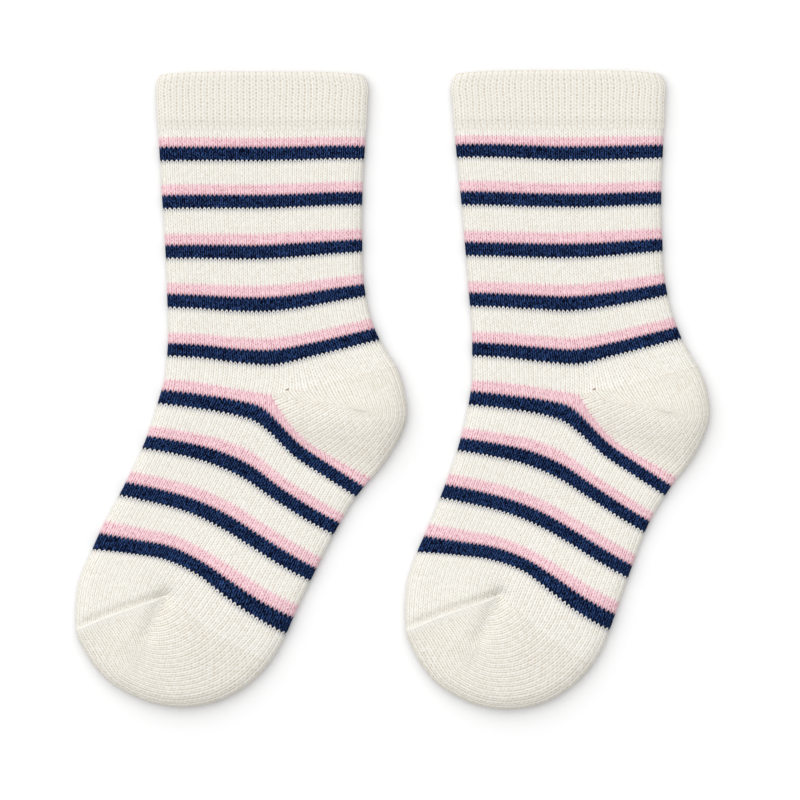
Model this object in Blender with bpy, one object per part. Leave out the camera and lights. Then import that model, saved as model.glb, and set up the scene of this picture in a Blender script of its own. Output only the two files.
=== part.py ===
"""A pair of striped crew socks for a small child, laid flat side by side.

Each sock is knitted in one go on a small circular machine, cuff first: a turned welt, a leg, a
heel pocket, a foot and a toe pocket, which is linked to the instep along the toe seam. Pressed
flat, its tube has an upper and a lower side that meet at a front fold (shin, instep) and at a
back fold (calf, heel, sole). The cloth is a wall with room for a second one under it, and the
underside lies flat.

Sizes are millimetres in each sock's own frame: x runs from the front fold to the back fold and
y towards the cuff, from the middle of the cuff's top edge, and z is the height above the
surface that the pair lies on. The build turns them into metres.
"""

import math
from collections import namedtuple

import bpy
import numpy as np

MM = 0.001

# The cloth.
WALL = 1.2  # one layer of plain knit
WELT_WALL = 1.8  # the cuff's two turned layers
SPLICED_WALL = 0.55  # more wall for each mm that a pocket stands higher: heel and toe are spliced
LEG_HALF_HEIGHT = 1.9
CUFF_HALF_HEIGHT = 2.3
HALF_GAP = 0.15  # from a piece's edge to the middle of the seam

# Courses, the rounds of stitches, are counted from the cuff's top edge.
STRIPE_REPEAT = 16
PINK_COURSES = 3
NAVY_COURSES = 4
LEG_STRIPES = (20, 36, 52, 68, 84)  # the first navy course of each pair
FOOT_STRIPES = (100, 116, 132, 148)
CUFF_COURSES = (0, 2, 5, 10, 15)
CUFF_END = 15
HEEL_COURSE = 97
DIP_COURSE = 161.5  # where the instep starts to dip towards the toe seam
TOE_COURSE = 163

# The toe seam's lip, the dip above it and the tuck at its inner end.
LIP_HEIGHT = 0.7
LIP_WIDTH = 2.2
DIP_DEPTH = 0.5
TUCK_DEPTH = 0.9
TUCK_WIDTH = 2.5

# How finely the cloth is drawn.
FOLD_TURNS = (0.0, 45.0, 90.0)  # degrees round each fold
TOP_SHARES = (0.1, 0.2, 0.3, 0.4, 0.5, 0.6, 0.7, 0.8, 0.9)
UNDER_SHARES = (0.1, 0.3, 0.5, 0.7, 0.9)
POCKET_TOP_SHARES = (0.0, 0.2, 0.4, 0.6, 0.8)
POCKET_UNDER_SHARES = (0.0, 0.4, 0.8)
HEEL_ROWS = 12
TOE_ROWS = 20
SMOOTH_ANGLE = 50.0

# Colours of the yarns, as sRGB shares.
CREAM = (0.935, 0.915, 0.870)
PINK = (0.915, 0.765, 0.790)
NAVY = (0.125, 0.185, 0.320)
YARN_ROUGHNESS = 0.9

# A course as it lies: its ends on the two folds, how far it bows towards the toe at each sixth
# of its length, and the share of its length at which its middle stitch lies.
COURSE_COLUMNS = "name number front_x front_y back_x back_y bow_1 bow_2 bow_3 bow_4 bow_5 middle"
Course = namedtuple("Course", COURSE_COLUMNS)
BOW_SHARES = np.arange(7) / 6
# A point that a pocket's fold runs through, and the share of the turn made there, from -1 at
# the pocket's first row to 1 at its last.
Fold = namedtuple("Fold", "turn x y")
# A rounded swelling: where it is, its radius and how much it adds to the half height.
Bulge = namedtuple("Bulge", "x y radius rise")
# A knitted-in pocket: the two ends of its gusset line, how much of the turn is left out for the
# seams before its first and after its last row, and its fold.
Pocket = namedtuple("Pocket", "gusset_x gusset_y end_x end_y first_trim last_trim fold")
SOCK_COLUMNS = "name x y cuff leg heel_front heel_in heel_out foot toe_front toe_in heel toe bulges"
Sock = namedtuple("Sock", SOCK_COLUMNS)

LEFT_SOCK = Sock(
    name="sock_1",
    x=-40.42,
    y=98.44,
    cuff=(
        Course("cuff_top", 0, -32.1, -0.9, 31.8, -0.9, -0.6, -1.1, -1.2, -1.1, -0.7, 0.5),
        Course("cuff_side", 2, -33.2, -3.4, 33.0, -3.4, -0.3, -0.6, -0.6, -0.6, -0.4, 0.5),
        Course("cuff_middle", 8, -33.0, -9.6, 32.8, -9.6, 0.0, 0.0, 0.0, 0.0, 0.0, 0.5),
        Course("cuff_end", 15, -32.7, -17.8, 32.5, -17.8, 0.0, 0.1, 0.2, 0.1, 0.0, 0.5),
    ),
    leg=(
        Course("leg_top", 15, -32.2, -17.8, 32.2, -17.8, 0.0, 0.1, 0.2, 0.1, 0.0, 0.5),
        Course("stripe_1", 20, -32.1, -23.2, 31.9, -22.9, 0.0, 0.1, 0.2, 0.1, -0.1, 0.5),
        Course("stripe_2", 36, -31.2, -38.2, 31.2, -37.1, 0.0, 0.2, 0.4, 0.3, 0.0, 0.5),
        Course("stripe_3", 52, -30.4, -53.6, 31.2, -51.8, 0.2, 0.6, 0.9, 0.6, 0.3, 0.5),
        Course("stripe_4", 68, -29.8, -68.7, 32.1, -65.6, 0.9, 2.0, 2.6, 2.2, 1.0, 0.5),
        Course("stripe_5", 84, -29.4, -84.0, 35.1, -79.3, 1.3, 3.3, 4.4, 3.4, 1.8, 0.5),
    ),
    heel_front=Course("heel_front", 97, -30.8, -95.3, 5.1, -99.7, -0.5, -0.6, -0.4, -0.2, -0.1, 0.5),
    heel_in=Course("heel_in", 97, 5.1, -99.7, 41.7, -90.8, 0.1, 0.3, 0.3, 0.2, 0.1, 0.5),
    heel_out=Course("heel_out", 97, 5.1, -99.7, 33.8, -125.9, 3.4, 4.5, 3.8, 2.6, 1.2, 0.5),
    foot=(
        Course("stripe_6", 100, -31.8, -98.4, 31.6, -128.5, -3.8, -7.1, -6.9, -3.0, -1.2, 0.49),
        Course("stripe_6_end", 104, -33.0, -102.3, 29.4, -131.3, -3.6, -6.5, -6.6, -3.1, -1.2, 0.49),
        Course("stripe_7", 116, -36.3, -112.7, 24.3, -139.7, -2.7, -4.7, -4.6, -2.3, -0.6, 0.485),
        Course("stripe_8", 132, -42.9, -127.0, 16.9, -153.8, -2.3, -3.7, -3.6, -2.2, -0.7, 0.475),
        Course("stripe_9", 148, -51.1, -142.8, 9.9, -168.9, -2.4, -4.8, -4.3, -2.2, -0.3, 0.455),
        Course("stripe_9_end", 152, -53.1, -147.6, 7.6, -173.6, -3.3, -5.9, -5.4, -2.8, -0.7, 0.45),
        Course("instep_end", 158, -57.4, -159.0, 4.6, -179.2, -4.9, -8.8, -9.2, -5.4, -2.2, 0.445),
    ),
    toe_front=Course("toe_front", 163, -57.8, -172.3, -29.9, -161.9, -0.4, -0.6, -0.6, -0.5, -0.3, 0.53),
    toe_in=Course("toe_in", 163, -29.9, -161.9, 2.0, -183.2, 0.4, 0.8, 0.9, 0.8, 0.4, 0.5),
    heel=Pocket(
        5.1, -99.7, 30.5, -104.9, 0.012, 0.012,
        fold=(
            Fold(-1.0, 41.7, -90.8),
            Fold(-0.5, 44.2, -98.9),
            Fold(0.0, 44.8, -107.6),
            Fold(0.5, 40.3, -117.5),
            Fold(1.0, 33.8, -125.9),
        ),
    ),
    toe=Pocket(
        -29.9, -161.9, -39.0, -182.8, 0.005, 0.01,
        fold=(
            Fold(-1.0, 2.0, -183.2),
            Fold(-0.87, -3.6, -189.1),
            Fold(-0.7, -11.9, -194.3),
            Fold(-0.48, -23.7, -196.8),
            Fold(-0.25, -34.4, -195.4),
            Fold(0.0, -44.8, -190.7),
            Fold(0.31, -51.3, -184.9),
            Fold(0.62, -55.3, -178.9),
            Fold(0.88, -57.4, -174.6),
            Fold(1.0, -57.8, -172.3),
        ),
    ),
    bulges=(Bulge(33.0, -107.0, 16.0, 1.0), Bulge(-30.0, -176.0, 22.0, 2.1)),
)

RIGHT_SOCK = Sock(
    name="sock_2",
    x=51.48,
    y=98.94,
    cuff=(
        Course("cuff_top", 0, -32.2, -1.0, 31.9, -1.0, -0.6, -1.1, -1.2, -1.1, -0.7, 0.5),
        Course("cuff_side", 2, -33.6, -3.6, 33.2, -3.6, -0.3, -0.6, -0.6, -0.6, -0.4, 0.5),
        Course("cuff_middle", 8, -33.2, -9.8, 33.2, -9.8, 0.0, 0.0, 0.0, 0.0, 0.0, 0.5),
        Course("cuff_end", 15, -32.7, -18.0, 32.8, -18.0, 0.0, 0.1, 0.2, 0.1, 0.0, 0.5),
    ),
    leg=(
        Course("leg_top", 15, -32.3, -18.0, 32.4, -18.0, 0.0, 0.1, 0.2, 0.1, 0.0, 0.5),
        Course("stripe_1", 20, -32.1, -22.9, 32.3, -23.0, -0.1, 0.2, 0.6, 0.5, 0.3, 0.5),
        Course("stripe_2", 36, -30.7, -37.5, 31.9, -37.5, 0.1, 0.5, 0.7, 0.7, 0.3, 0.5),
        Course("stripe_3", 52, -29.4, -53.1, 32.2, -52.1, 0.4, 0.8, 1.1, 1.0, 0.5, 0.5),
        Course("stripe_4", 68, -28.1, -68.8, 33.6, -65.8, 0.8, 1.8, 2.7, 2.4, 1.4, 0.5),
        Course("stripe_5", 84, -27.1, -84.2, 37.0, -79.4, 1.4, 3.2, 4.6, 3.5, 1.8, 0.5),
    ),
    heel_front=Course("heel_front", 97, -27.1, -96.1, 7.9, -100.2, -0.4, -0.6, -0.6, -0.4, -0.2, 0.5),
    heel_in=Course("heel_in", 97, 7.9, -100.2, 43.1, -91.4, 0.1, 0.3, 0.3, 0.2, 0.1, 0.5),
    heel_out=Course("heel_out", 97, 7.9, -100.2, 36.6, -126.4, 2.9, 3.7, 3.4, 2.4, 1.1, 0.5),
    foot=(
        Course("stripe_6", 100, -27.7, -99.3, 34.8, -128.7, -3.8, -7.3, -7.1, -3.2, -1.4, 0.49),
        Course("stripe_6_end", 104, -28.3, -103.2, 33.0, -131.5, -3.7, -6.6, -6.5, -3.3, -1.4, 0.49),
        Course("stripe_7", 116, -30.7, -113.8, 28.2, -139.7, -2.8, -4.7, -4.8, -3.0, -1.2, 0.485),
        Course("stripe_8", 132, -35.4, -128.2, 22.7, -153.4, -2.0, -3.6, -3.7, -2.5, -0.9, 0.475),
        Course("stripe_9", 148, -42.0, -144.2, 17.5, -168.4, -2.5, -4.8, -5.0, -3.2, -0.9, 0.455),
        Course("stripe_9_end", 152, -44.1, -148.9, 16.0, -172.9, -3.2, -6.0, -6.3, -3.8, -1.1, 0.45),
        Course("instep_end", 158, -47.7, -160.0, 13.2, -179.2, -4.7, -8.7, -10.4, -6.1, -2.6, 0.45),
    ),
    toe_front=Course("toe_front", 163, -47.8, -173.0, -18.3, -162.1, -0.4, -0.6, -0.6, -0.5, -0.3, 0.53),
    toe_in=Course("toe_in", 163, -18.3, -162.1, 10.2, -184.4, 0.4, 0.8, 0.9, 0.8, 0.4, 0.5),
    heel=Pocket(
        7.9, -100.2, 33.5, -105.9, 0.012, 0.012,
        fold=(
            Fold(-1.0, 43.1, -91.4),
            Fold(-0.5, 46.1, -99.4),
            Fold(0.0, 46.7, -108.1),
            Fold(0.5, 42.8, -118.0),
            Fold(1.0, 36.6, -126.4),
        ),
    ),
    toe=Pocket(
        -18.3, -162.1, -27.6, -182.5, 0.005, 0.01,
        fold=(
            Fold(-1.0, 10.2, -184.4),
            Fold(-0.88, 5.4, -189.8),
            Fold(-0.73, -1.9, -194.8),
            Fold(-0.47, -14.9, -198.0),
            Fold(-0.245, -25.4, -196.6),
            Fold(0.0, -35.0, -192.0),
            Fold(0.33, -41.5, -185.7),
            Fold(0.65, -45.4, -179.1),
            Fold(0.9, -47.3, -175.0),
            Fold(1.0, -47.8, -173.0),
        ),
    ),
    bulges=(Bulge(35.5, -107.5, 16.0, 1.0), Bulge(-19.0, -177.0, 22.0, 2.1)),
)

# A place on a row round the flattened cloth: which fold it rounds, or "middle"; its share of
# the width there; the turn from the fold's edge in degrees; and its side, 1 up or -1 down.
Place = namedtuple("Place", "zone share turn side")


def smooth_curve(knots, values, at):
    """The smooth curve that meets `values` at the rising `knots`, at one place or several."""
    slopes = np.gradient(values, knots, axis=0, edge_order=2)
    i = np.clip(np.searchsorted(knots, at, side="right") - 1, 0, len(knots) - 2)
    step = knots[i + 1] - knots[i]
    t = (at - knots[i]) / step
    return (
        (1 + 2 * t) * (1 - t) ** 2 * values[i]
        + t * (1 - t) ** 2 * step * slopes[i]
        + t * t * (3 - 2 * t) * values[i + 1]
        - t * t * (1 - t) * step * slopes[i + 1]
    )


def sideways(direction):
    """The unit vector across a direction, on its right."""
    across = np.array([direction[1], -direction[0]])
    return across / np.hypot(*across)


def ends(course):
    return np.array([course.front_x, course.front_y]), np.array([course.back_x, course.back_y])


def spread(course, wale):
    """The share of a course's length at wales from 0, its front end, to 1, its back end."""
    return wale + (course.middle - 0.5) * np.sin(math.pi * wale) ** 2


def bow_at(course, share):
    """How far a course bows towards the toe at shares of its length."""
    bows = np.array([0.0, course.bow_1, course.bow_2, course.bow_3, course.bow_4, course.bow_5, 0.0])
    return smooth_curve(BOW_SHARES, bows, share)


def along(course, wale):
    """Plan points of a course at its wales, the columns of stitches."""
    front, back = ends(course)
    share = spread(course, np.asarray(wale, float))
    straight = front + share[:, None] * (back - front)
    return straight + bow_at(course, share)[:, None] * sideways(back - front)


def along_halves(front_half, back_half, wale):
    """Plan points of a course that turns a corner at its middle wale."""
    wale = np.asarray(wale, float)
    front = along(front_half, np.clip(2 * wale, 0, 1))
    back = along(back_half, np.clip(2 * wale - 1, 0, 1))
    return np.where((wale < 0.5)[:, None], front, back)


def tube_plan(sock, part, number, wale):
    """Plan points of course `number` of the cuff, leg or foot at the given wales."""
    if part == "cuff":
        lines = [along(course, wale) for course in sock.cuff]
        knots = [course.number for course in sock.cuff]
    elif part == "leg":
        lines = [along(course, wale) for course in sock.leg]
        lines.append(along_halves(sock.heel_front, sock.heel_in, wale))
        knots = [course.number for course in sock.leg] + [HEEL_COURSE]
    else:
        lines = [along_halves(sock.heel_front, sock.heel_out, wale)]
        lines += [along(course, wale) for course in sock.foot]
        lines.append(along_halves(sock.toe_front, sock.toe_in, wale))
        knots = [HEEL_COURSE] + [course.number for course in sock.foot] + [TOE_COURSE]
    return smooth_curve(np.array(knots, float), np.array(lines), number)


def pocket_plan(sock, part, turn, wale):
    """Plan points of a pocket's row, from the gusset line, wale 0, to the fold, wale 1.

    Rows swing round the gusset's far end. The first and last of them take the bow of the course
    that they are joined to; the toe's last one is the seam, which runs back to the front fold.
    """
    wale = np.asarray(wale, float)
    pocket = sock.heel if part == "heel" else sock.toe
    if part == "heel":
        line, seam = (sock.heel_in, False) if turn < 0 else (sock.heel_out, False)
    else:
        line, seam = (sock.toe_in, False) if turn < 0 else (sock.toe_front, True)
    narrowed = 1 - abs(turn)
    nearness = 1 - narrowed**2
    gusset_start = np.array([pocket.gusset_x, pocket.gusset_y])
    gusset_end = np.array([pocket.end_x, pocket.end_y])
    gusset = gusset_start + narrowed * (gusset_end - gusset_start)
    knots = np.array([point.turn for point in pocket.fold])
    fold = smooth_curve(knots, np.array([(point.x, point.y) for point in pocket.fold]), turn)
    front, back = ends(line)
    share = 1 - spread(line, 1 - wale) if seam else spread(line, wale)
    line_bow = -bow_at(line, 1 - share) if seam else bow_at(line, share)
    share = wale + nearness * (share - wale)
    run = fold - gusset
    bow = line_bow * nearness * np.hypot(*run) / np.hypot(*(back - front))
    return gusset + share[:, None] * run + bow[:, None] * sideways(run)


def half_height(sock, part, plan):
    """Half the height of the pressed sock at each plan point."""
    height = np.full(len(plan), CUFF_HALF_HEIGHT if part == "cuff" else LEG_HALF_HEIGHT)
    for bulge in sock.bulges:
        away = np.hypot(plan[:, 0] - bulge.x, plan[:, 1] - bulge.y)
        height += bulge.rise * np.exp(-((away / bulge.radius) ** 2))
    return height


def wall(part, height):
    """The cloth's thickness where half the sock's height is `height`."""
    if part == "cuff":
        return np.full(len(height), WELT_WALL)
    return WALL + SPLICED_WALL * (height - LEG_HALF_HEIGHT)


def toe_relief(sock, part, plan):
    """The lip, dip and tuck that the toe seam leaves in the upper side."""
    if part not in ("foot", "toe"):
        return np.zeros(len(plan))
    start, end = ends(sock.toe_front)
    length = np.hypot(*(end - start))
    run = (end - start) / length
    reach = np.clip((plan - start) @ run, 0, length)
    away = np.hypot(*(plan - start - reach[:, None] * run).T)
    inside = np.clip((length - (plan - start) @ run) / TUCK_WIDTH, 0, 1)
    tuck = np.exp(-((np.hypot(*(plan - end).T) / TUCK_WIDTH) ** 2))
    lean = LIP_HEIGHT if part == "toe" else -DIP_DEPTH
    return lean * inside * np.exp(-((away / LIP_WIDTH) ** 2)) - TUCK_DEPTH * tuck


def ring_places():
    """The places round a tube: over the top to the back fold, and back underneath."""
    front = [Place("front", 0, turn, 1) for turn in FOLD_TURNS]
    top = [Place("middle", share, 90, 1) for share in TOP_SHARES]
    back = [Place("back", 1, turn, 1) for turn in reversed(FOLD_TURNS)]
    under_back = [Place("back", 1, turn, -1) for turn in FOLD_TURNS[1:]]
    under = [Place("middle", share, 90, -1) for share in reversed(UNDER_SHARES)]
    under_front = [Place("front", 0, turn, -1) for turn in reversed(FOLD_TURNS[1:])]
    return front + top + back + under_back + under + under_front


def row_places():
    """The places along a pocket's row: gusset, fold and the gusset of the underside."""
    top = [Place("middle", share, 90, 1) for share in POCKET_TOP_SHARES]
    back = [Place("back", 1, turn, 1) for turn in reversed(FOLD_TURNS)]
    under_back = [Place("back", 1, turn, -1) for turn in FOLD_TURNS[1:]]
    under = [Place("middle", share, 90, -1) for share in reversed(POCKET_UNDER_SHARES)]
    return top + back + under_back + under


def cloth_points(sock, part, plan_at, places, layer):
    """Points of one row of the cloth's outer or inner face, as x, y, z.

    plan_at gives the row's plan points at shares from the front fold, or a pocket's gusset,
    to the back fold. Each fold is half a round of the sock's height, drawn in from its edge.
    """
    landmarks = plan_at([0.0, 0.5, 1.0])
    front_half, back_half = np.hypot(*np.diff(landmarks, axis=0).T)
    heights = half_height(sock, part, landmarks)
    insets = wall(part, heights) if layer == "inner" else np.zeros(3)
    shares = []
    for place in places:
        end, half = (0, front_half) if place.zone == "front" else (2, back_half)
        bend = 1 - math.cos(math.radians(place.turn))
        reach = 0.5 * (insets[end] + (heights[end] - insets[end]) * bend) / half
        drawn_in = {"front": reach, "back": 1 - reach, "middle": place.share}
        shares.append(drawn_in[place.zone])
    plan = plan_at(shares)
    height = half_height(sock, part, plan)
    radius = height - wall(part, height) if layer == "inner" else height
    lift = np.array([place.side * math.sin(math.radians(place.turn)) for place in places])
    z = height + radius * lift + toe_relief(sock, part, plan) * np.clip(lift, 0, 1) ** 2
    return np.column_stack([plan, z])


def drawn_back(row, next_row):
    """A tube's end row, drawn back by half the seam gap towards the next row."""

    def plan(shares):
        points = row(shares)
        fine = np.linspace(0, 1, 41)
        slope = np.gradient(row(fine), axis=0)
        across = np.column_stack([slope[:, 1], -slope[:, 0]])
        across = np.column_stack([np.interp(shares, fine, across[:, k]) for k in (0, 1)])
        across /= np.hypot(*across.T)[:, None]
        side = np.sign(np.sum(across * (next_row(shares) - points), axis=1))
        return points + HALF_GAP * side[:, None] * across

    return plan


def tube_faces(rows, around):
    """Quads of a wall whose outer ring points come row by row, then its inner ones."""
    inner = rows * around
    faces = []
    for j in range(around):
        k = (j + 1) % around
        for i in range(rows - 1):
            a, b = i * around, (i + 1) * around
            faces.append((a + j, b + j, b + k, a + k))
            faces.append((inner + a + j, inner + a + k, inner + b + k, inner + b + j))
        last = (rows - 1) * around
        faces.append((j, k, inner + k, inner + j))
        faces.append((last + k, last + j, inner + last + j, inner + last + k))
    return faces


def pocket_faces(rows, across):
    """Quads of a pocket's wall. The rows before and after the turn share its gusset edges."""

    def index(layer, i, j):
        if j in (0, across - 1):
            i = min(i, rows - 1 - i)
        return (layer * rows + i) * across + j

    faces = []
    for j in range(across - 1):
        k = j + 1
        for i in range(rows - 1):
            faces.append([index(0, i, j), index(0, i + 1, j), index(0, i + 1, k), index(0, i, k)])
            faces.append([index(1, i, j), index(1, i, k), index(1, i + 1, k), index(1, i + 1, j)])
        last = rows - 1
        faces.append([index(0, 0, j), index(0, 0, k), index(1, 0, k), index(1, 0, j)])
        faces.append([index(0, last, k), index(0, last, j), index(1, last, j), index(1, last, k)])
    return faces


def tube_rows(sock, part, numbers):
    """Plan functions of a tube's courses, the first and the last drawn back from their seams."""
    rows = [lambda wales, n=n: tube_plan(sock, part, n, wales) for n in numbers]
    rows[0] = drawn_back(rows[0], rows[1])
    rows[-1] = drawn_back(rows[-1], rows[-2])
    return rows


def pocket_rows(sock, part, count):
    """Plan functions of a pocket's rows from its first to its last, with the turn between."""
    pocket = sock.heel if part == "heel" else sock.toe
    first = np.linspace(-1 + pocket.first_trim, 0, count // 2 + 1)
    last = np.linspace(0, 1 - pocket.last_trim, count // 2 + 1)
    turns = [*first, *last[1:]]
    return [lambda wales, t=t: pocket_plan(sock, part, t, wales) for t in turns]


def yarn_material(name, colour):
    """A matt yarn, its sRGB colour turned to the linear one that Blender takes."""
    material = bpy.data.materials.new(name)
    material.use_nodes = True
    shader = material.node_tree.nodes["Principled BSDF"]
    linear = [((share + 0.055) / 1.055) ** 2.4 for share in colour]
    shader.inputs["Base Color"].default_value = (*linear, 1.0)
    shader.inputs["Roughness"].default_value = YARN_ROUGHNESS
    shader.inputs["Metallic"].default_value = 0.0
    material.diffuse_color = (*linear, 1.0)
    return material


def add_piece(sock, part, rows, places, faces, yarns, yarn_below):
    """One piece of a sock as an object. yarn_below gives the yarn of the cloth below a row."""
    layers = [cloth_points(sock, part, row, places, layer) for layer in ("outer", "inner") for row in rows]
    used, compact = np.unique(np.array(faces), return_inverse=True)
    mesh = bpy.data.meshes.new(f"{sock.name}_{part}")
    mesh.from_pydata((np.concatenate(layers)[used] * MM).tolist(), [], compact.reshape(-1, 4).tolist())
    for yarn in yarns:
        mesh.materials.append(yarn)
    for polygon, corners in zip(mesh.polygons, faces):
        polygon.material_index = yarn_below(min(corner // len(places) % len(rows) for corner in corners))
    mesh.shade_smooth()
    mesh.set_sharp_from_angle(angle=math.radians(SMOOTH_ANGLE))
    piece = bpy.data.objects.new(f"{sock.name}_{part}", mesh)
    bpy.context.scene.collection.objects.link(piece)
    return piece


def striped_courses(first, last, stripes):
    """The courses that a striped tube is drawn at: its ends, the edges of its stripes and the
    middle of each plain stretch."""
    numbers = {first, last}
    for navy in stripes:
        pink = max(navy - PINK_COURSES, first)
        cream = navy + NAVY_COURSES
        plain_end = min(navy - PINK_COURSES + STRIPE_REPEAT, last)
        numbers |= {pink, navy, cream, (cream + plain_end) / 2}
    return sorted(numbers)


def add_tube(sock, part, numbers, stripes, yarns):
    """The cuff, leg or foot of a sock, its yarns in the order cream, pink, navy."""

    def yarn_below(row):
        for navy in stripes:
            if navy - PINK_COURSES <= numbers[row] < navy:
                return 1
            if navy <= numbers[row] < navy + NAVY_COURSES:
                return 2
        return 0

    places = ring_places()
    rows = tube_rows(sock, part, numbers)
    faces = tube_faces(len(rows), len(places))
    return add_piece(sock, part, rows, places, faces, yarns, yarn_below)


def add_pocket(sock, part, count, yarns):
    """The heel or toe pocket of a sock."""
    places = row_places()
    rows = pocket_rows(sock, part, count)
    faces = pocket_faces(len(rows), len(places))
    return add_piece(sock, part, rows, places, faces, yarns, lambda row: 0)


def add_sock(sock):
    """All five pieces of one sock, under an empty at its place in the pair."""
    cream = yarn_material(f"{sock.name}_cream_yarn", CREAM)
    pink = yarn_material(f"{sock.name}_pink_yarn", PINK)
    navy = yarn_material(f"{sock.name}_navy_yarn", NAVY)
    striped = [cream, pink, navy]
    leg_courses = striped_courses(CUFF_END, HEEL_COURSE, LEG_STRIPES)
    foot_courses = striped_courses(HEEL_COURSE, TOE_COURSE, FOOT_STRIPES)
    foot_courses.insert(-1, DIP_COURSE)
    pieces = [
        add_tube(sock, "cuff", CUFF_COURSES, (), [cream]),
        add_tube(sock, "leg", leg_courses, LEG_STRIPES, striped),
        add_pocket(sock, "heel", HEEL_ROWS, [cream]),
        add_tube(sock, "foot", foot_courses, FOOT_STRIPES, striped),
        add_pocket(sock, "toe", TOE_ROWS, [cream]),
    ]
    place = bpy.data.objects.new(f"{sock.name}_place", None)
    bpy.context.scene.collection.objects.link(place)
    place.location = (sock.x * MM, sock.y * MM, 0.0)
    for piece in pieces:
        piece.parent = place


def clear_scene():
    for obj in list(bpy.data.objects):
        bpy.data.objects.remove(obj, do_unlink=True)


def main():
    clear_scene()
    for sock in (LEFT_SOCK, RIGHT_SOCK):
        add_sock(sock)


main()
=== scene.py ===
import math
from collections import namedtuple
from functools import partialmethod

import bpy
import numpy as np
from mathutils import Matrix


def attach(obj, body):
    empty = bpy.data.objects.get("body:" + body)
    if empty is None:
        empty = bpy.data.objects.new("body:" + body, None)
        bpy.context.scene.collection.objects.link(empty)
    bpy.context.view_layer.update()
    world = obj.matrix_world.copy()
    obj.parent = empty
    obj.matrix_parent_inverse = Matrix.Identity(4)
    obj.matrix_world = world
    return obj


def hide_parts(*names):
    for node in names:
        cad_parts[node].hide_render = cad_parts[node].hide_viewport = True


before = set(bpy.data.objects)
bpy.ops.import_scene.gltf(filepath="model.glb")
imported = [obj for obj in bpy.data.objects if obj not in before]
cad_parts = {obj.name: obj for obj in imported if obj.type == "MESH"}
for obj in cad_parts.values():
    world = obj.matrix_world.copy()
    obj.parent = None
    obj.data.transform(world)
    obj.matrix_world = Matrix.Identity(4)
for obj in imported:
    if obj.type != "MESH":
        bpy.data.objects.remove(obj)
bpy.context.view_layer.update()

# A pair of striped crew socks for a small child, laid flat side by side. Every section of a sock
# is a closed wall of plain knit. Its mesh follows the columns of stitches, the wales, and the
# rounds of stitches, the courses, so that each stitch has its own relief. Sizes are millimetres
# in a sock's own frame: x runs from the front fold to the back fold, y towards the cuff from the
# middle of its top edge, and z is the height above the surface.

MM = 0.001

# The cloth.
WALL = 1.2
WELT_WALL = 1.8
SPLICED_WALL = 0.55  # more for each millimetre that half the height grows
LEG_HALF_HEIGHT = 1.9
CUFF_HALF_HEIGHT = 2.15

# Wales in a full round, and the quarter that lies between a fold and the middle of a side.
WALES = 96
CUFF_RIBS = 72
QUARTER = WALES / 4
CUFF_QUARTER = CUFF_RIBS / 4

# Courses, counted from the cuff's top edge.
STRIPE_REPEAT = 16
PINK_COURSES = 3
NAVY_COURSES = 4
FIRST_PINK_COURSE = 17
LAST_NAVY_COURSE = 152
CUFF_END = 15
HEEL_COURSE = 97
TOE_COURSE = 163
HEEL_ROWS = 38
TOE_FIRST_ROWS = 34
TOE_LAST_ROWS = 22
TOE_SEAM_COURSE = TOE_COURSE + TOE_FIRST_ROWS + TOE_LAST_ROWS
INSTEP_FRONT_COURSES = 26  # from the last stripe to the toe seam, at the front fold
INSTEP_MIDDLE_COURSES = 11
YARN_CHANGE = 3.5  # rows before the heel's edges at which its yarn changes

# The share of a pocket's wales that end on its gusset line, and how fast they end near its edges,
# before and after the turn. The rows next to the turn make up the rest.
GUSSET_SHARE = {"heel": 0.42, "toe": 0.6}
GUSSET_PACES = {"heel": (0.42, 0.3), "toe": (0.25, 1.0)}
GUSSET_ROUNDING = 0.22
GUSSET_SETTLING = 0.1  # squared, in shares of a pocket's rows

# The stitches' relief, cut into the wall.
GROOVE_DEPTH = 0.24
RIB_DEPTH = 0.20
CENTRE_DEPTH = 0.4  # of the groove's, between the two legs of a stitch
LEG_START = 0.37  # where a stitch's leg starts and how far it spreads, in half wales
LEG_SPREAD = 0.26
CENTRE_BEAT = 0.35  # how much the centre and the groove change along a stitch
GROOVE_BEAT = 0.15
COURSE_SWELL = 0.06
FURROW_FLOOR = 0.45  # of a hole's depth, between the holes in the cuff's furrows
RIB_START = 0.2  # the courses over which the cuff's ribs rise
RIB_RISE = 1.6
SEAM_STITCHES = 0.35  # of the groove's depth, in the last courses before the toe seam
SEAM_COURSES = 1.3
GUSSET_STITCHES = 0.4  # of the groove's depth, on a gusset line

# The upper side eases down towards the folds, and the cuff towards the leg.
EDGE_EASE = 0.6
EDGE_REACH = 3.4
FOLD_STRETCH = 1.6  # how much wider than high a fold's rounding is
CUFF_EASE = 4.0
ROUNDING_START = 0.02  # of the top edge's radius, so that no two points there fall together

# The mesh: columns to a wale above and below, and rows to a course.
TOP_COLUMNS = 4
UNDER_COLUMNS = 2
MESH_ROWS = 3
CUFF_MESH_ROWS = 4
INSTEP_MESH_ROWS = 54  # in all, past the last stripe
HEEL_MESH_ROWS = MESH_ROWS * HEEL_ROWS // 2  # from a pocket's turn to each edge, outside
TOE_MESH_ROWS = MESH_ROWS * TOE_FIRST_ROWS
HEEL_INNER_ROWS = 12  # and inside
TOE_INNER_ROWS = 17

# The toe seam's lip, the dip above it and the tuck at its inner end.
LIP_HEIGHT = 1.3
LIP_EDGE = 1.0
LIP_REACH = 4.0
DIP_DEPTH = 1.3
DIP_WIDTH = 1.5
SEAM_EDGE = 0.6  # how much of the dip the toe's own edge goes down
SEAM_STRENGTH = 1.2  # the dip's and lip's next to the tuck, and what they lose on the way out
SEAM_LOSS = 0.5
SEAM_FADE = 30.0
TUCK_DEPTH = 1.5
TUCK_WIDTH = 2.0
GATHER_WIDTH = 9.0  # round the tuck, where the wales stand up as ribs
GATHER_DEPTH = 1.6

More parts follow.
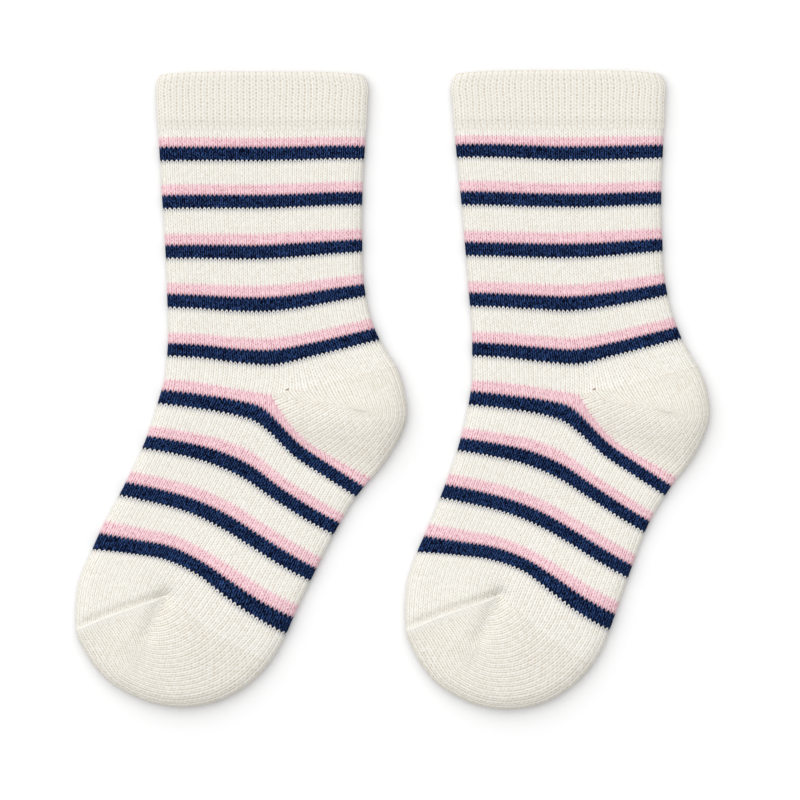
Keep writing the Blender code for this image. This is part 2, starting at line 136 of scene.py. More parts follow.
# A course as it lies: its ends on the two folds, how far it bows towards the toe at each sixth
# of its length, and the share of its length at which its middle stitch lies.
# The foot's first courses also have a corner, a sharper bow below the heel's corner.
Course = namedtuple(
    "Course",
    "name number front_x front_y back_x back_y bow_1 bow_2 bow_3 bow_4 bow_5 middle corner",
    defaults=(0.5, 0.0),
)
CORNER_SHARE = 0.43
CORNER_WIDTH = 0.075
BOW_SHARES = np.arange(7) / 6
Fold = namedtuple("Fold", "turn x y")
Bulge = namedtuple("Bulge", "x y radius rise")
Crease = namedtuple("Crease", "from_x from_y to_x to_y width rise")
Pocket = namedtuple("Pocket", "gusset_x gusset_y end_x end_y fold")
Sock = namedtuple(
    "Sock",
    "name x y cuff leg heel_front heel_in heel_out foot toe_front toe_in heel toe bulges"
    " upper_creases under_creases",
)


def table(kind, *rows):
    return tuple(kind(*row) for row in rows)


LEFT_SOCK = Sock(
    name="sock_1",
    x=-40.42,
    y=98.44,
    cuff=table(
        Course,
        ("cuff_top", 0, -32.1, -0.9, 31.8, -0.9, -0.8, -1.05, -1.05, -1.05, -0.85),
        ("cuff_side", 2, -32.75, -3.4, 32.8, -3.4, -0.3, -0.6, -0.6, -0.6, -0.4),
        ("cuff_middle", 8, -32.8, -9.6, 32.8, -9.6, 0.0, 0.0, 0.0, 0.0, 0.0),
        ("cuff_end", 15, -32.4, -17.8, 32.45, -17.8, 0.0, 0.1, 0.2, 0.1, 0.0),
    ),
    leg=table(
        Course,
        ("leg_top", 15, -32.3, -17.8, 32.3, -17.8, 0.0, 0.1, 0.2, 0.1, 0.0),
        ("stripe_1", 20, -31.95, -23.2, 31.95, -22.9, 0.0, 0.1, 0.2, 0.1, -0.1),
        ("stripe_2", 36, -31.1, -38.2, 31.2, -37.1, 0.0, 0.2, 0.4, 0.3, 0.0),
        ("stripe_3", 52, -30.1, -53.6, 31.1, -51.8, 0.2, 0.6, 0.9, 0.6, 0.3),
        ("stripe_4", 68, -29.5, -68.7, 31.65, -65.6, 0.9, 2.0, 2.6, 2.2, 1.0),
        ("stripe_5", 84, -29.25, -84.0, 34.9, -79.3, 1.3, 3.3, 4.4, 3.4, 1.8),
        ("end_5", 88, -29.5, -87.6, 36.4, -82.6, 1.5, 3.75, 5.2, 3.65, 1.85),
    ),
    heel_front=Course("heel_front", 97, -30.25, -95.3, 2.8, -100.0, -0.5, -0.6, -0.4, -0.2, -0.1),
    heel_in=Course("heel_in", 97, 2.8, -100.0, 41.6, -90.8, 0.1, 0.3, 0.3, 0.2, 0.1, 0.575),
    heel_out=Course("heel_out", 97, 2.8, -100.0, 33.8, -125.9, 2.35, 3.7, 3.8, 2.65, 1.4),
    foot=table(
        Course,
        ("stripe_6", 100, -31.2, -98.4, 31.6, -128.5, -3.95, -7.1, -6.9, -3.2, -1.5, 0.49, -1.1),
        ("end_6", 104, -32.4, -102.3, 29.4, -131.3, -3.7, -6.7, -6.8, -3.2, -1.5, 0.49, -0.7),
        ("stripe_7", 116, -35.7, -112.7, 24.15, -139.7, -2.95, -4.9, -4.95, -2.55, -0.9, 0.485),
        ("stripe_8", 132, -42.3, -127.0, 16.9, -153.8, -2.4, -3.95, -3.9, -2.45, -0.9, 0.475),
        ("stripe_9", 148, -50.5, -142.8, 9.75, -168.9, -2.65, -5.05, -4.65, -2.55, -0.6, 0.455),
        ("end_9", 152, -52.6, -147.6, 7.75, -173.6, -3.4, -6.1, -6.0, -3.2, -1.0, 0.45),
        ("instep_end", 158, -57.1, -159.0, 4.85, -179.2, -4.9, -8.8, -9.2, -5.4, -2.2, 0.445),
    ),
    toe_front=Course(
        "toe_front", 163, -57.8, -172.3, -29.9, -161.9, -0.4, -0.6, -0.6, -0.5, -0.3, 0.53
    ),
    toe_in=Course("toe_in", 163, -29.9, -161.9, 2.25, -183.2, 0.4, 0.8, 0.9, 0.8, 0.4),
    heel=Pocket(2.8, -100.0, 30.5, -104.9, fold=table(
        Fold,
        (-1.0, 41.6, -90.8),
        (-0.5, 44.2, -98.9),
        (0.0, 44.8, -107.6),
        (0.5, 40.3, -117.5),
        (1.0, 33.8, -125.9),
    )),
    toe=Pocket(-29.9, -161.9, -39.0, -182.8, fold=table(
        Fold,
        (-1.0, 2.25, -183.2),
        (-0.87, -3.4, -189.1),
        (-0.7, -11.9, -194.3),
        (-0.48, -23.7, -196.8),
        (-0.25, -34.4, -195.4),
        (0.0, -44.8, -190.7),
        (0.31, -51.3, -184.9),
        (0.62, -55.3, -178.9),
        (0.88, -57.4, -174.6),
        (1.0, -57.8, -172.3),
    )),
    bulges=(Bulge(33.0, -107.0, 16.0, 1.0), Bulge(-26.5, -176.0, 24.0, 2.4)),
    upper_creases=table(
        Crease,
        (10.0, -105.0, 33.0, -108.5, 7.5, 1.5),  # the heel's gusset stands up
        (17.0, -118.0, 32.0, -123.5, 5.0, -0.7),
        (-28.0, -91.5, -2.0, -93.0, 4.0, -0.3),  # the front of the ankle
        (-30.0, -163.5, -35.0, -174.0, 2.6, -0.8),  # runs on from the tuck
        (-38.5, -169.5, -41.0, -175.0, 4.5, 0.5),
        (-24.0, -160.5, -22.5, -169.0, 3.5, 0.35),
        (-13.0, -24.0, -12.0, -82.0, 5.0, -0.12),
        (11.0, -40.0, 16.0, -86.0, 6.0, 0.12),
    ),
    under_creases=table(
        Crease,
        (9.0, -101.5, 32.0, -105.5, 4.0, 0.5),
        (-26.0, -92.0, 2.0, -97.0, 3.5, 0.4),
        (-31.0, -164.0, -37.0, -178.0, 3.0, 0.5),
        (14.0, -30.0, 8.0, -80.0, 5.0, 0.2),
    ),
)

RIGHT_SOCK = Sock(
    name="sock_2",
    x=51.48,
    y=98.94,
    cuff=table(
        Course,
        ("cuff_top", 0, -32.2, -1.0, 31.9, -1.0, -0.8, -1.05, -1.05, -1.05, -0.85),
        ("cuff_side", 2, -33.2, -3.6, 33.0, -3.6, -0.3, -0.6, -0.6, -0.6, -0.4),
        ("cuff_middle", 8, -33.0, -9.8, 33.0, -9.8, 0.0, 0.0, 0.0, 0.0, 0.0),
        ("cuff_end", 15, -32.45, -18.0, 32.75, -18.0, 0.0, 0.1, 0.2, 0.1, 0.0),
    ),
    leg=table(
        Course,
        ("leg_top", 15, -32.3, -18.0, 32.55, -18.0, 0.0, 0.1, 0.2, 0.1, 0.0),
        ("stripe_1", 20, -31.95, -22.9, 32.45, -23.0, -0.1, 0.2, 0.6, 0.5, 0.3),
        ("stripe_2", 36, -30.5, -37.5, 31.9, -37.5, 0.1, 0.5, 0.7, 0.7, 0.3),
        ("stripe_3", 52, -29.15, -53.1, 32.2, -52.1, 0.4, 0.8, 1.1, 1.0, 0.5),
        ("stripe_4", 68, -27.85, -68.8, 33.15, -65.8, 0.8, 1.8, 2.7, 2.4, 1.4),
        ("stripe_5", 84, -26.8, -84.2, 36.75, -79.4, 1.4, 3.2, 4.6, 3.5, 1.8),
        ("end_5", 88, -26.85, -88.0, 38.1, -82.65, 1.6, 3.7, 5.2, 3.65, 1.85),
    ),
    heel_front=Course("heel_front", 97, -26.75, -96.1, 6.2, -100.4, -0.4, -0.6, -0.6, -0.4, -0.2),
    heel_in=Course("heel_in", 97, 6.2, -100.4, 43.0, -91.4, 0.1, 0.3, 0.3, 0.2, 0.1, 0.575),
    heel_out=Course("heel_out", 97, 6.2, -100.4, 36.6, -126.4, 2.2, 3.4, 3.5, 2.35, 1.05),
    foot=table(
        Course,
        ("stripe_6", 100, -27.3, -99.3, 35.0, -128.7, -3.9, -7.3, -7.1, -3.5, -1.6, 0.49, -1.1),
        ("end_6", 104, -27.95, -103.2, 33.2, -131.5, -3.8, -6.8, -6.6, -3.4, -1.6, 0.49, -0.7),
        ("stripe_7", 116, -30.35, -113.8, 28.3, -139.7, -2.85, -5.0, -5.15, -3.25, -1.4, 0.485),
        ("stripe_8", 132, -35.2, -128.2, 22.9, -153.4, -2.25, -3.8, -4.0, -2.8, -1.2, 0.475),
        ("stripe_9", 148, -41.75, -144.2, 17.6, -168.4, -2.6, -5.05, -5.4, -3.5, -1.1, 0.455),
        ("end_9", 152, -43.8, -148.9, 16.0, -172.9, -3.4, -6.2, -6.9, -4.2, -1.3, 0.45),
        ("instep_end", 158, -47.25, -160.0, 13.5, -179.2, -4.7, -8.7, -10.4, -6.1, -2.6, 0.45),
    ),
    toe_front=Course(
        "toe_front", 163, -47.55, -173.0, -18.3, -162.1, -0.4, -0.6, -0.6, -0.5, -0.3, 0.53
    ),
    toe_in=Course("toe_in", 163, -18.3, -162.1, 10.35, -184.4, 0.4, 0.8, 0.9, 0.8, 0.4),
    heel=Pocket(6.2, -100.4, 33.5, -105.9, fold=table(
        Fold,
        (-1.0, 43.0, -91.4),
        (-0.5, 46.1, -99.4),
        (0.0, 46.7, -108.1),
        (0.5, 42.8, -118.0),
        (1.0, 36.6, -126.4),
    )),
    toe=Pocket(-18.3, -162.1, -27.6, -182.5, fold=table(
        Fold,
        (-1.0, 10.35, -184.4),
        (-0.88, 5.4, -189.8),
        (-0.73, -1.9, -194.8),
        (-0.47, -14.9, -198.0),
        (-0.245, -25.4, -196.6),
        (0.0, -35.0, -192.0),
        (0.33, -41.5, -185.7),
        (0.65, -45.4, -179.1),
        (0.9, -47.1, -175.0),
        (1.0, -47.55, -173.0),
    )),
    bulges=(Bulge(35.5, -107.5, 16.0, 1.0), Bulge(-15.5, -177.0, 24.0, 2.4)),
    upper_creases=table(
        Crease,
        (13.0, -103.0, 36.0, -108.5, 7.5, 1.4),
        (19.0, -115.5, 35.0, -122.0, 5.0, -0.6),
        (-25.0, -105.0, 8.0, -113.0, 4.0, -0.3),
        (-18.5, -164.0, -24.0, -175.0, 2.6, -0.9),
        (-27.5, -170.0, -30.0, -176.0, 4.5, 0.5),
        (-12.5, -161.0, -11.0, -169.5, 3.5, 0.4),
        (-9.0, -26.0, -8.0, -84.0, 5.0, -0.12),
        (15.0, -24.0, 18.0, -76.0, 6.0, 0.12),
    ),
    under_creases=table(
        Crease,
        (12.0, -102.0, 34.0, -106.5, 4.0, 0.5),
        (-22.0, -93.0, 5.0, -98.0, 3.5, 0.4),
        (-19.0, -165.0, -25.0, -178.0, 3.0, 0.5),
        (10.0, -34.0, 13.0, -78.0, 5.0, 0.2),
    ),
)


# ---- how the courses lie

def smooth_curve(knots, values, at):
    """The smooth curve that meets `values` at the rising `knots`, at one place or several."""
    slopes = np.gradient(values, knots, axis=0, edge_order=2)
    i = np.clip(np.searchsorted(knots, at, side="right") - 1, 0, len(knots) - 2)
    step = knots[i + 1] - knots[i]
    t = (at - knots[i]) / step
    return (
        (1 + 2 * t) * (1 - t) ** 2 * values[i]
        + t * (1 - t) ** 2 * step * slopes[i]
        + t * t * (3 - 2 * t) * values[i + 1]
        - t * t * (1 - t) * step * slopes[i + 1]
    )


def sideways(direction):
    """The unit vector across a direction, on its right."""
    across = np.stack([direction[..., 1], -direction[..., 0]], axis=-1)
    return across / np.linalg.norm(across, axis=-1, keepdims=True)


def ends(course):
    return np.array([course.front_x, course.front_y]), np.array([course.back_x, course.back_y])


def spread(course, wale):
    """The share of a course's length at wales from 0, its front end, to 1, its back end."""
    return wale + (course.middle - 0.5) * np.sin(math.pi * wale) ** 2


def bow_at(course, share):
    """How far a course bows towards the toe at shares of its length."""
    bows = [0.0, course.bow_1, course.bow_2, course.bow_3, course.bow_4, course.bow_5, 0.0]
    corner = course.corner * np.exp(-(((share - CORNER_SHARE) / CORNER_WIDTH) ** 2))
    return smooth_curve(BOW_SHARES, np.array(bows), share) + corner


def along(course, wale):
    """Plan points of a course at its wales."""
    front, back = ends(course)
    share = spread(course, np.asarray(wale, float))
    straight = front + share[:, None] * (back - front)
    return straight + bow_at(course, share)[:, None] * sideways(back - front)


def along_halves(front_half, back_half, wale):
    """Plan points of a course that turns a corner at its middle wale."""
    wale = np.asarray(wale, float)
    front = along(front_half, np.clip(2 * wale, 0, 1))
    back = along(back_half, np.clip(2 * wale - 1, 0, 1))
    return np.where((wale < 0.5)[:, None], front, back)


def tube_plan(sock, part, number, wale):
    """Plan points of course `number` of the cuff, leg or foot at the given wales."""
    courses = getattr(sock, part)
    lines = [along(course, wale) for course in courses]
    knots = [course.number for course in courses]
    if part == "leg":
        lines.append(along_halves(sock.heel_front, sock.heel_in, wale))
        knots.append(HEEL_COURSE)
    if part == "foot":
        lines.insert(0, along_halves(sock.heel_front, sock.heel_out, wale))
        lines.append(along_halves(sock.toe_front, sock.toe_in, wale))
        knots = [HEEL_COURSE, *knots, TOE_COURSE]
    return smooth_curve(np.array(knots, float), np.array(lines), number)


def soft_turn(turn, rounding):
    """How far a pocket's row lies from its turn, rounded off there, with 1 at the ends."""
    return np.sqrt(turn**2 + rounding**2) - np.sqrt(1 + rounding**2) + 1


def settled(turn):
    """How far a pocket's row has come from the form at the turn, 0, to that of its edges, 1."""
    return turn**2 * (1 + GUSSET_SETTLING) / (turn**2 + GUSSET_SETTLING)


def ended_share(part, turn, rounding):
    """The share of a pocket's wales that end on its gusset line further out than a row."""
    narrowed = 1 - soft_turn(turn, rounding)
    whole, pace = GUSSET_SHARE[part], GUSSET_PACES[part][int(turn > 0)]
    return whole * narrowed + (pace - whole) * settled(turn) * narrowed * (1 - narrowed)


def pocket_plan(sock, part, turn, wale, rounding):
    """Plan points of a pocket's row, from the gusset line, wale 0, to the fold, wale 1."""
    pocket = getattr(sock, part)
    seam = part == "toe" and turn >= 0
    if part == "heel":
        line = sock.heel_in if turn < 0 else sock.heel_out
    else:
        line = sock.toe_front if seam else sock.toe_in
    narrowed = 1 - soft_turn(turn, rounding)
    nearness = settled(turn)
    gusset_start = np.array([pocket.gusset_x, pocket.gusset_y])
    gusset_end = np.array([pocket.end_x, pocket.end_y])
    gusset = gusset_start + narrowed[:, None] * (gusset_end - gusset_start)
    knots = np.array([point.turn for point in pocket.fold])
    fold = smooth_curve(knots, np.array([(point.x, point.y) for point in pocket.fold]), turn)
    front, back = ends(line)
    share = 1 - spread(line, 1 - wale) if seam else spread(line, wale)
    line_bow = -bow_at(line, 1 - share) if seam else bow_at(line, share)
    share = wale + nearness * (share - wale)
    run = fold - gusset
    bow = line_bow * nearness * np.hypot(*run.T) / np.hypot(*(back - front))
    return gusset + share[:, None] * run + bow[:, None] * sideways(run)


# ---- the form of the pressed sock

def half_height(sock, part, plan):
    """Half the height of the pressed sock at each plan point."""
    height = np.full(len(plan), LEG_HALF_HEIGHT)
    if part == "cuff":
        above_end = np.clip((plan[:, 1] - sock.cuff[-1].front_y) / CUFF_EASE, 0, 1)
        height += (CUFF_HALF_HEIGHT - LEG_HALF_HEIGHT) * above_end**2 * (3 - 2 * above_end)
    for bulge in sock.bulges:
        away = np.hypot(plan[:, 0] - bulge.x, plan[:, 1] - bulge.y)
        height += bulge.rise * np.exp(-((away / bulge.radius) ** 2))
    return height


def wall(part, height):
    """The cloth's thickness where half the sock's height is `height`."""
    if part == "cuff":
        return np.full(len(height), WELT_WALL)
    return WALL + SPLICED_WALL * (height - LEG_HALF_HEIGHT)


def crease_relief(creases, plan):
    """Soft ridges and troughs, each along its own short line."""
    relief = np.zeros(len(plan))
    for crease in creases:
        start = np.array([crease.from_x, crease.from_y])
        run = np.array([crease.to_x, crease.to_y]) - start
        share = np.clip((plan - start) @ run / (run @ run), 0, 1)
        away = np.hypot(*(plan - start - share[:, None] * run).T)
        relief += crease.rise * np.exp(-((away / crease.width) ** 2))
    return relief


def toe_relief(sock, part, plan):
    """The lip, dip and tuck that the toe seam leaves in the upper side."""
    if part not in ("foot", "toe"):
        return np.zeros(len(plan))
    seam = along(sock.toe_front, np.linspace(0, 1, 150))
    away = np.min(np.hypot(*(plan[:, None] - seam).transpose(2, 0, 1)), axis=1)
    tuck = np.exp(-((np.hypot(*(plan - seam[-1]).T) / TUCK_WIDTH) ** 2))
    direction = (seam[-1] - seam[0]) / np.hypot(*(seam[-1] - seam[0]))
    from_tuck = (seam[-1] - plan) @ direction
    strength = SEAM_STRENGTH - SEAM_LOSS * np.clip(from_tuck / SEAM_FADE, 0, 1)
    inside = np.clip(from_tuck / TUCK_WIDTH, 0, 1) * strength
    if part == "toe":
        edge = np.clip(away / LIP_EDGE, 0, 1)
        lean = LIP_HEIGHT * edge * (2 - edge) * np.exp(-away / LIP_REACH)
        lean -= SEAM_EDGE * DIP_DEPTH * (1 - edge) ** 2
    else:
        lean = -DIP_DEPTH * np.exp(-((away / DIP_WIDTH) ** 2))
    return lean * inside - TUCK_DEPTH * tuck


def round_fold(fraction, length, height, thickness):
    """Where cloth lies at fractions of its way from a fold's edge to the middle of a side.

    Gives the share of the plan length that it has come in from the edge, and the turn made.
    """
    reach = (height - thickness) * FOLD_STRETCH
    quarter_arc = math.pi / 2 * np.sqrt((reach**2 + (height - thickness) ** 2) / 2)
    arc = fraction * (length - thickness - reach + quarter_arc)
    bend = np.minimum(arc / quarter_arc, 1) * math.pi / 2
    inset = thickness + reach * (1 - np.cos(bend)) + np.maximum(arc - quarter_arc, 0)
    return inset / length, bend


def raise_cloth(sock, part, plan, outward, lift, from_edge, inner):
    """Points and outward normals of the outer or inner face at plan points.

    lift runs from -1 on the underside over 0 on a fold's edge to 1 on the upper side, and
    from_edge is the way in from the fold's edge.
    """
    height = half_height(sock, part, plan)
    radius = height - wall(part, height) if inner else height
    upper = toe_relief(sock, part, plan) + crease_relief(sock.upper_creases, plan)
    upper -= EDGE_EASE * np.exp(-((from_edge / EDGE_REACH) ** 2))
    under = crease_relief(sock.under_creases, plan)
    z = height + radius * lift + upper * np.clip(lift, 0, 1) ** 2
    z += under * np.clip(-lift, 0, 1) ** 2
    level = np.sqrt(1 - lift**2)
    normals = np.column_stack([outward * level[:, None], lift])
    return np.column_stack([plan, z]), -normals if inner else normals


def tube_ring(sock, part, number, wales, quarter, inner):
    """One course of a tube, as points and normals at wales in a full round."""

    def plan_at(shares):
        return tube_plan(sock, part, number, shares)

    landmarks = plan_at(np.array([0.0, 0.5, 1.0]))
    runs = np.diff(landmarks, axis=0)
    lengths = np.hypot(*runs.T)
    back = ((wales > quarter) & (wales < 3 * quarter)).astype(int)
    fold_heights = half_height(sock, part, landmarks)[[0, 2]]
    thickness = wall(part, fold_heights)[back] if inner else np.zeros(len(wales))
    fraction = np.abs((wales + quarter) % (2 * quarter) - quarter) / quarter
    inset, bend = round_fold(fraction, lengths[back], fold_heights[back], thickness)
    shares = np.where(back == 1, 1 - inset / 2, inset / 2)
    directions = np.array([-runs[0] / lengths[0], runs[1] / lengths[1]])
    lift = np.where(wales <= 2 * quarter, 1, -1) * np.sin(bend)
    return raise_cloth(
        sock, part, plan_at(shares), directions[back], lift, inset * lengths[back], inner
    )


def pocket_row(sock, part, turn, wales, inner):
    """One row of a pocket, as points, normals and the wales that its columns have there.

    The share of the wales that end on the gusset line is the gusset's. The others turn round
    its end in a curve, the wider the nearer they are to the fold.
    """
    away = np.abs(wales - 2 * QUARTER) / QUARTER
    rounding = GUSSET_ROUNDING * np.clip(1 - away / (1 - GUSSET_SHARE[part]), 0, 1)
    fraction = np.minimum(away / (1 - ended_share(part, turn, rounding)), 1)

    def plan_at(shares):
        return pocket_plan(sock, part, turn, np.broadcast_to(shares, wales.shape), rounding)

    landmarks = np.array([plan_at(0.0), plan_at(0.5), plan_at(1.0)])
    length = np.linalg.norm(np.diff(landmarks, axis=0), axis=2).sum(axis=0)
    height = half_height(sock, part, landmarks[2])
    thickness = wall(part, height) if inner else np.zeros(len(wales))
    inset, bend = round_fold(fraction, length, height, thickness)
    outward = landmarks[2] - landmarks[0]
    outward = outward / np.linalg.norm(outward, axis=1, keepdims=True)
    lift = np.where(wales <= 2 * QUARTER, 1, -1) * np.sin(bend)
    points, normals = raise_cloth(
        sock, part, plan_at(1 - inset), outward, lift, inset * length, inner
    )
    limit = (1 - ended_share(part, turn, 0.0)) * QUARTER
    held = np.clip(wales, 2 * QUARTER - limit, 2 * QUARTER + limit)
    return points, normals, held


# ---- the relief of the stitches

def plain_stitches(wales, courses):
    """How far the surface lies below the yarn's crest in plain knit, in shares of the groove."""
    across = np.abs(wales % 1 - 0.5) * 2
    phase = 2 * math.pi * courses
    leg = LEG_START + LEG_SPREAD * (courses % 1)
    centre = CENTRE_DEPTH * np.clip(1 - across / leg, 0, 1) ** 2
    centre *= 1 - CENTRE_BEAT * np.cos(phase)
    groove = np.clip((across - leg) / (1 - leg), 0, 1) ** 2
    groove *= 1 - GROOVE_BEAT + GROOVE_BEAT * np.cos(phase)
    return centre + groove + COURSE_SWELL * (1 - np.cos(phase))


def cuff_stitches(ribs, courses):
    """The same in the cuff: rounded ribs, with a row of small holes down each furrow."""
    across = np.abs(ribs % 1 - 0.5) * 2
    hole = 0.5 + 0.5 * np.cos(2 * math.pi * courses)
    risen = np.clip((courses - RIB_START) / RIB_RISE, 0, 1)
    return across**2 * (FURROW_FLOOR + (1 - FURROW_FLOOR) * hole) * risen


# ---- meshes

def grid_faces(ids, wales, courses, turned):
    """Quads of a grid of corner ids, with the wale and course at each corner."""
    def corners(values):
        quad = [values[:-1, :-1], values[1:, :-1], values[1:, 1:], values[:-1, 1:]]
        return np.stack(quad[::-1] if turned else quad, axis=-1).reshape(-1, 4)

    return corners(ids), corners(wales), corners(courses)


def wall_faces(ids, wales, courses):
    """The faces of a wall's outer and inner grids, and of the rims between their ends."""
    faces = [grid_faces(ids[k], wales[k], courses[k], k == 1) for k in range(2)]
    for end, turned in ((0, True), (-1, False)):
        rim_ids = np.array([grid[end] for grid in ids])
        rim_wales = np.array([grid[end] for grid in wales])
        faces.append(grid_faces(rim_ids, rim_wales, np.tile(courses[0][end], (2, 1)), turned))
    return [np.concatenate([face[k] for face in faces]) for k in range(3)]


def new_object(name, data):
    made = bpy.data.objects.new(name, data)
    bpy.context.scene.collection.objects.link(made)
    return made


def add_cloth(sock, part, layers, grid_ids, grid_wales, grid_courses, material, slot):
    """A section of a sock, from the points and the outer and inner grids of its wall.

    Corners that fall together leave a triangle or nothing. The rims are sharp, apart from the
    cuff's rounded top edge.
    """
    outer_size = grid_ids[0].size
    used, corners = np.unique(np.append(*grid_ids), return_inverse=True)
    points = np.concatenate([layer.reshape(-1, 3) for layer in layers])[used]
    outer_ids = corners[:outer_size].reshape(grid_ids[0].shape)
    inner_ids = corners[outer_size:].reshape(grid_ids[1].shape)
    ids, wales, courses = wall_faces((outer_ids, inner_ids), grid_wales, grid_courses)
    doubled = ids == np.roll(ids, 1, axis=1)
    kept = doubled.sum(axis=1) <= 1
    ids, wales, courses, doubled = ids[kept], wales[kept], courses[kept], doubled[kept]
    polygons = [row[~twin].tolist() for row, twin in zip(ids, doubled)]
    knit = np.column_stack([wales[~doubled], courses[~doubled]])
    name = f"{sock.name}_{part}_knit"
    mesh = bpy.data.meshes.new(name)
    mesh.from_pydata(((points + (sock.x, sock.y, 0.0)) * MM).tolist(), [], polygons)
    mesh.uv_layers.new(name="Knit").data.foreach_set("uv", knit.astype(np.float32).ravel())
    mesh.shade_smooth()
    on_rim = np.zeros(len(points), bool)
    for end in (-1,) if part == "cuff" else (0, -1):
        on_rim[np.append(outer_ids[end], inner_ids[end])] = True
    pairs = np.empty(len(mesh.edges) * 2, np.int32)
    mesh.edges.foreach_get("vertices", pairs)
    sharp = on_rim[pairs.reshape(-1, 2)].all(axis=1)
    mesh.attributes.new("sharp_edge", "BOOLEAN", "EDGE").data.foreach_set("value", sharp)
    mesh.materials.append(material)
    piece = new_object(name, mesh)
    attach(piece, "root")
    return piece


def mesh_columns(start, fold, end):
    """Wales of the mesh columns from start to end, closer together above the fold than below."""
    above = np.arange(start, fold, 1 / TOP_COLUMNS)
    return np.append(above, np.arange(fold, end, 1 / UNDER_COLUMNS))


def closed(grid):
    """A grid with its first column once more at its end."""
    return np.column_stack([grid, grid[:, 0]])


def grids(rows):
    """What each of the rows holds, such as its points and normals, stacked as grids."""
    return [np.array(values) for values in zip(*rows)]


def instep_courses(number, wales):
    """The course that the knit has come to. Above the toe seam the instep has more of them."""
    front = np.clip(np.abs(wales - WALES / 2) / QUARTER - 1, 0, 1)
    count = INSTEP_MIDDLE_COURSES + front * (INSTEP_FRONT_COURSES - INSTEP_MIDDLE_COURSES)
    past = np.clip(number - LAST_NAVY_COURSE, 0, None) / (TOE_COURSE - LAST_NAVY_COURSE)
    return np.minimum(number, LAST_NAVY_COURSE) + past * count


def add_tube(sock, part, numbers, inner_numbers, material, slot):
    """The cuff, leg or foot of a sock."""
    quarter = CUFF_QUARTER if part == "cuff" else QUARTER
    wales = mesh_columns(0, 2 * quarter, 4 * quarter)

    def face(numbers, inner):
        return grids(tube_ring(sock, part, number, wales, quarter, inner) for number in numbers)

    outer, normals = face(numbers, False)
    inner, inward = face(inner_numbers, True)
    wale_grid = np.tile(wales, (len(numbers), 1))
    course_grid = np.tile(np.array(numbers)[:, None], (1, len(wales)))
    if part == "cuff":
        cut = RIB_DEPTH * cuff_stitches(wale_grid, course_grid)
        radius = WELT_WALL / 2
        spacing = (sock.cuff[0].front_y - sock.cuff[-1].front_y) / CUFF_END
        for points, facing, rows in ((outer, normals, numbers), (inner, inward, inner_numbers)):
            down = np.clip(np.array(rows) * spacing / radius, ROUNDING_START, 1)
            points -= facing * (radius * (1 - np.sqrt(1 - (1 - down) ** 2)))[:, None, None]
        cut *= np.clip(np.array(numbers) * spacing / radius, 0, 1)[:, None]
    else:
        if part == "foot":
            course_grid = instep_courses(course_grid, wale_grid)
        cut = GROOVE_DEPTH * plain_stitches(wale_grid, course_grid)
    if part == "foot":
        away = np.hypot(outer[..., 0] - sock.toe.gusset_x, outer[..., 1] - sock.toe.gusset_y)
        gathered = np.exp(-((away / GATHER_WIDTH) ** 2)) * (outer[..., 2] > LEG_HALF_HEIGHT)
        cut *= 1 + GATHER_DEPTH * gathered
    outer -= normals * cut[:, :, None]
    rows, inner_rows, columns = len(numbers), len(inner_numbers), len(wales)
    all_ids = closed(np.arange((rows + inner_rows) * columns).reshape(-1, columns))
    ids = all_ids[:rows], all_ids[rows:]
    all_wales = np.tile(np.append(wales, 4 * quarter), (rows + inner_rows, 1))
    wale_grids = all_wales[:rows], all_wales[rows:]
    inner_courses = np.tile(np.array(inner_numbers, float)[:, None], (1, columns + 1))
    course_grids = closed(course_grid), inner_courses
    return add_cloth(sock, part, (outer, inner), ids, wale_grids, course_grids, material, slot)


def pocket_ids(held, wales):
    """Corner ids of a pocket's grid.

    Columns that have ended share their row's gusset corner, and so do the rows before and after
    the turn.
    """
    ids = np.arange(held.size).reshape(held.shape)
    rows = np.arange(len(held))
    mirror = np.minimum(rows, rows[::-1])
    gusset_top = ids[mirror, 0][:, None]
    gusset_under = ids[mirror, -1][:, None]
    ids = np.where(held > wales, gusset_top, ids)
    ids = np.where(held < wales, gusset_under, ids)
    ids[:, 0] = gusset_top[:, 0]
    ids[:, -1] = gusset_under[:, 0]
    return ids


def add_pocket(sock, part, half_rows, inner_half_rows, material, slot):
    """The heel or toe pocket of a sock."""
    wales = mesh_columns(QUARTER, 2 * QUARTER, 3 * QUARTER + 0.5 / UNDER_COLUMNS)
    if part == "heel":
        first, last, start = HEEL_ROWS / 2, HEEL_ROWS / 2, HEEL_COURSE
    else:
        first, last, start = TOE_FIRST_ROWS, TOE_LAST_ROWS, TOE_COURSE

    def face(half_rows, inner):
        turns = np.linspace(-1, 1, 2 * half_rows + 1)
        courses = start + first * (1 + np.minimum(turns, 0)) + last * np.maximum(turns, 0)
        rows = grids(pocket_row(sock, part, turn, wales, inner) for turn in turns)
        return *rows, np.tile(courses[:, None], (1, len(wales)))

    outer, normals, held, courses = face(half_rows, False)
    inner, _, inner_held, inner_courses = face(inner_half_rows, True)
    from_fold = np.abs(held - 2 * QUARTER)
    inside = np.clip(from_fold.max(axis=1, keepdims=True) - from_fold, 0, 1)
    depth = GROOVE_DEPTH * np.where(courses > TOE_SEAM_COURSE - SEAM_COURSES, SEAM_STITCHES, 1.0)
    depth *= GUSSET_STITCHES + (1 - GUSSET_STITCHES) * inside
    outer -= normals * (depth * plain_stitches(held, courses))[:, :, None]
    ids = pocket_ids(held, wales), held.size + pocket_ids(inner_held, wales)
    wale_grids, course_grids = (held, inner_held), (courses, inner_courses)
    return add_cloth(sock, part, (outer, inner), ids, wale_grids, course_grids, material, slot)


# ---- yarn and knit materials

def linear(*colour):
    """The linear values of an sRGB colour from 0 to 255."""
    return tuple(((c / 255 + 0.055) / 1.055) ** 2.4 for c in colour) + (1.0,)


